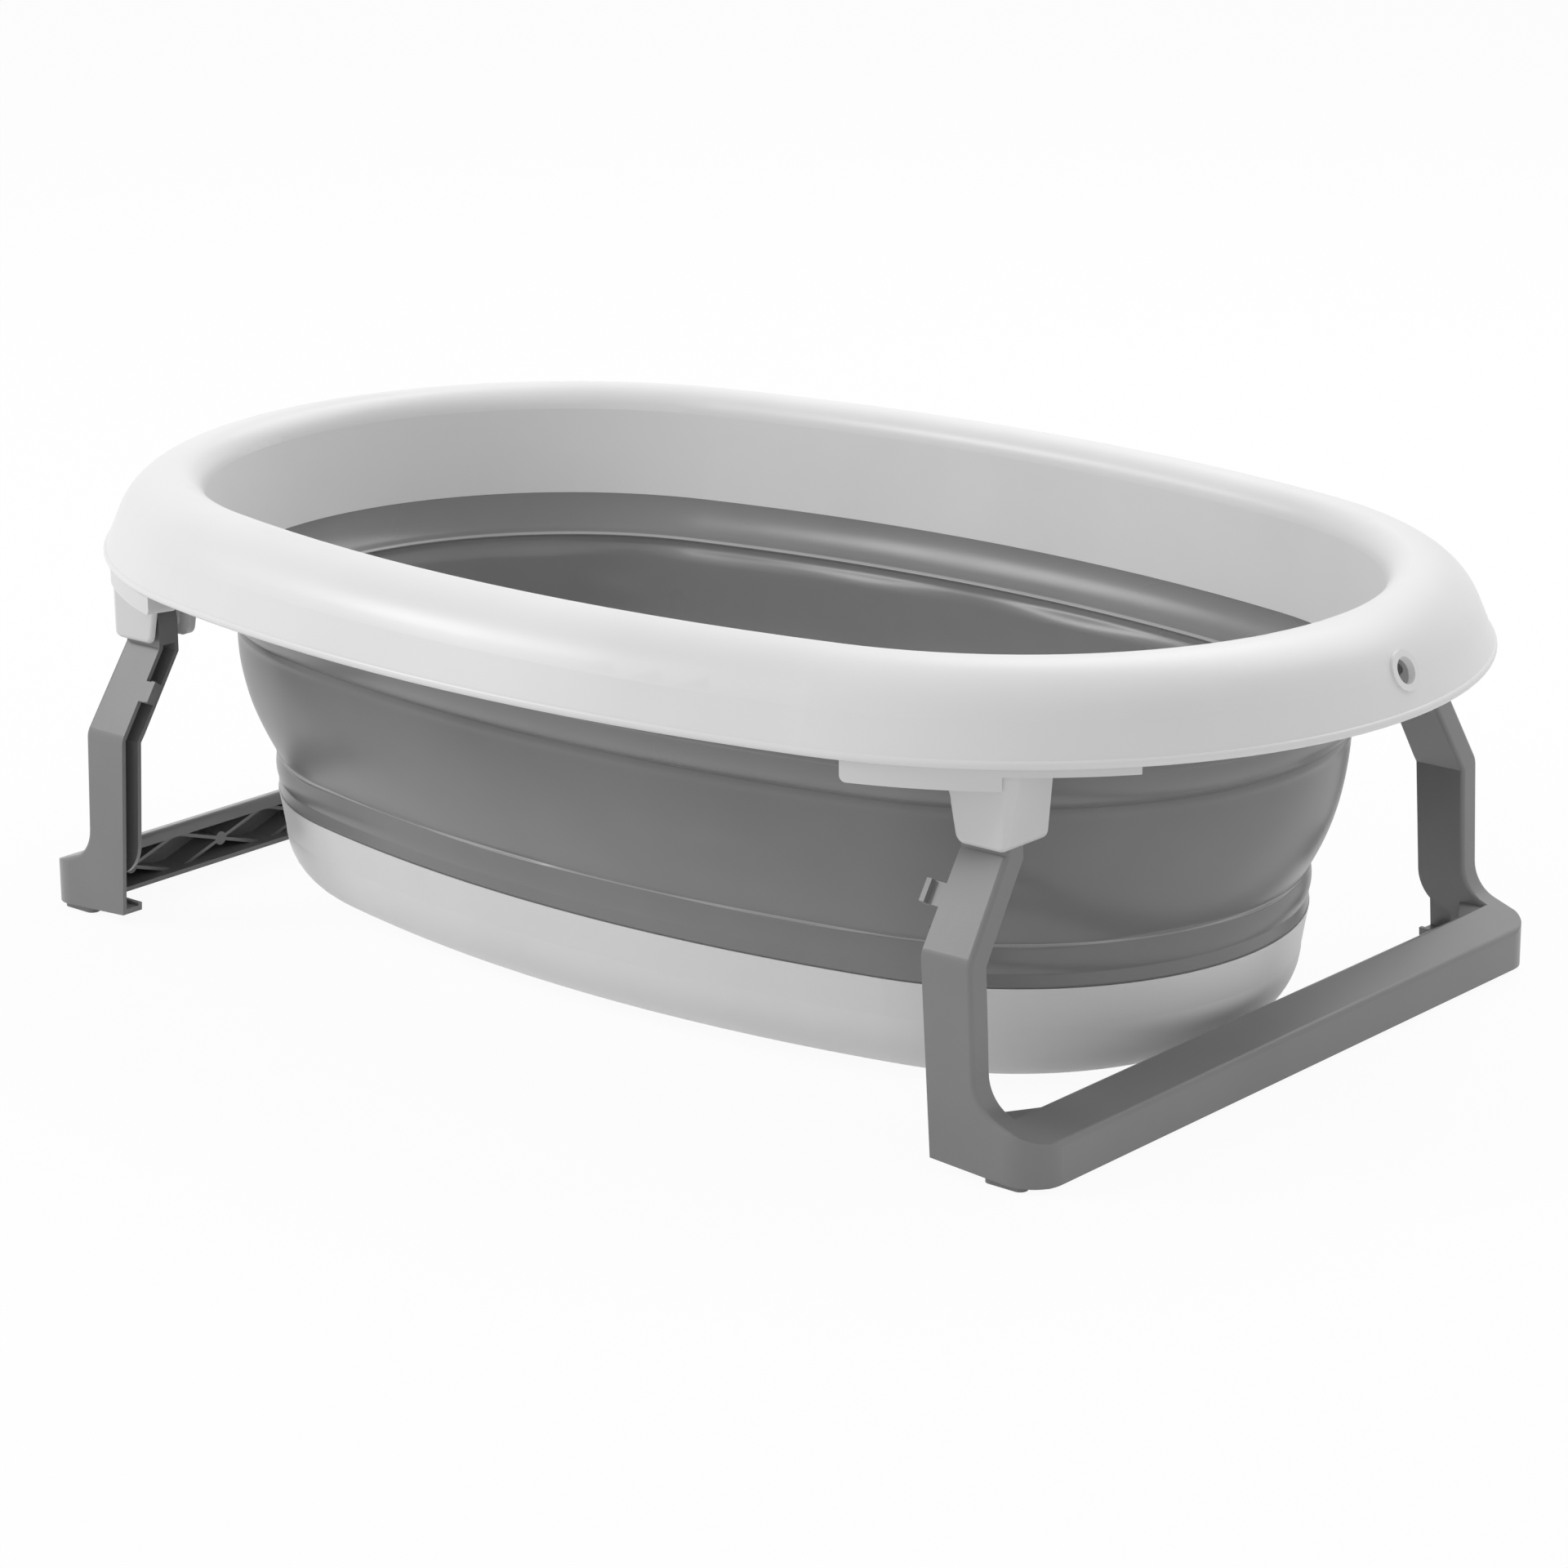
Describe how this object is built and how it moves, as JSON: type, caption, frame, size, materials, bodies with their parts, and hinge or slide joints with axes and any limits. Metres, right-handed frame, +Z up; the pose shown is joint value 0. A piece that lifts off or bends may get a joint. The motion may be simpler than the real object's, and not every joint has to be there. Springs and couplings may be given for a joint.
{
  "type": "folding baby bath",
  "caption": "Oval collapsible baby bath with a rigid flared rim, a soft fold-up wall, a rigid base tray with a drain plug, and fold-under leg frames hinged below the rim.",
  "frame": {"origin": "middle of the tub, on the plane of the foot pads' undersides", "axes": "+X along the tub towards the end with the hanging hole, +Z up; the front in the picture is -Y"},
  "size_m": [0.828, 0.5358, 0.2445],
  "materials": {
    "white_plastic": "satin moulded",
    "grey_soft": "soft satin",
    "grey_plastic": "fine moulded grain",
    "dark_rubber": "matte",
    "steel": "bright"
  },
  "bodies": {
    "rim": {"rim_shell": "white_plastic", "soft_wall": "grey_soft", "hinge_bracket_front_right": "white_plastic", "hinge_bracket_front_left": "white_plastic", "hinge_bracket_back_right": "white_plastic", "hinge_bracket_back_left": "white_plastic", "hinge_pin_front_right": "steel", "hinge_pin_front_left": "steel", "hinge_pin_back_right": "steel", "hinge_pin_back_left": "steel", "bracket_screws": "steel"},
    "base": {"base_tray": "white_plastic"},
    "right_leg": {"leg_frame_right": "grey_plastic", "foot_pad_front_right": "dark_rubber", "foot_pad_back_right": "dark_rubber"},
    "left_leg": {"leg_frame_left": "grey_plastic", "foot_pad_front_left": "dark_rubber", "foot_pad_back_left": "dark_rubber"},
    "plug": {"drain_plug": "grey_plastic", "plug_washer": "dark_rubber"}
  },
  "joints": [
    {"name": "bath_collapse", "type": "slide", "parent": "rim", "child": "base", "axis": [0, 0, 1], "range_m": [0, 0.19], "deforming": ["soft_wall"]},
    {"name": "right_leg_fold", "type": "hinge", "parent": "rim", "child": "right_leg", "pos_m": [0.2955, 0, 0.168], "axis": [0, 1, 0], "range_deg": [0, 86]},
    {"name": "left_leg_fold", "type": "hinge", "parent": "rim", "child": "left_leg", "pos_m": [-0.2955, 0, 0.168], "axis": [0, -1, 0], "range_deg": [0, 86]},
    {"name": "drain_plug_lift", "type": "slide", "parent": "base", "child": "plug", "axis": [0, 0, 1], "range_m": [0, 0.03]}
  ],
  "couplings": [
    {"joint": "right_leg_fold", "follows": "bath_collapse", "rad_per_m": 7.89},
    {"joint": "left_leg_fold", "follows": "bath_collapse", "rad_per_m": 7.89}
  ]
}
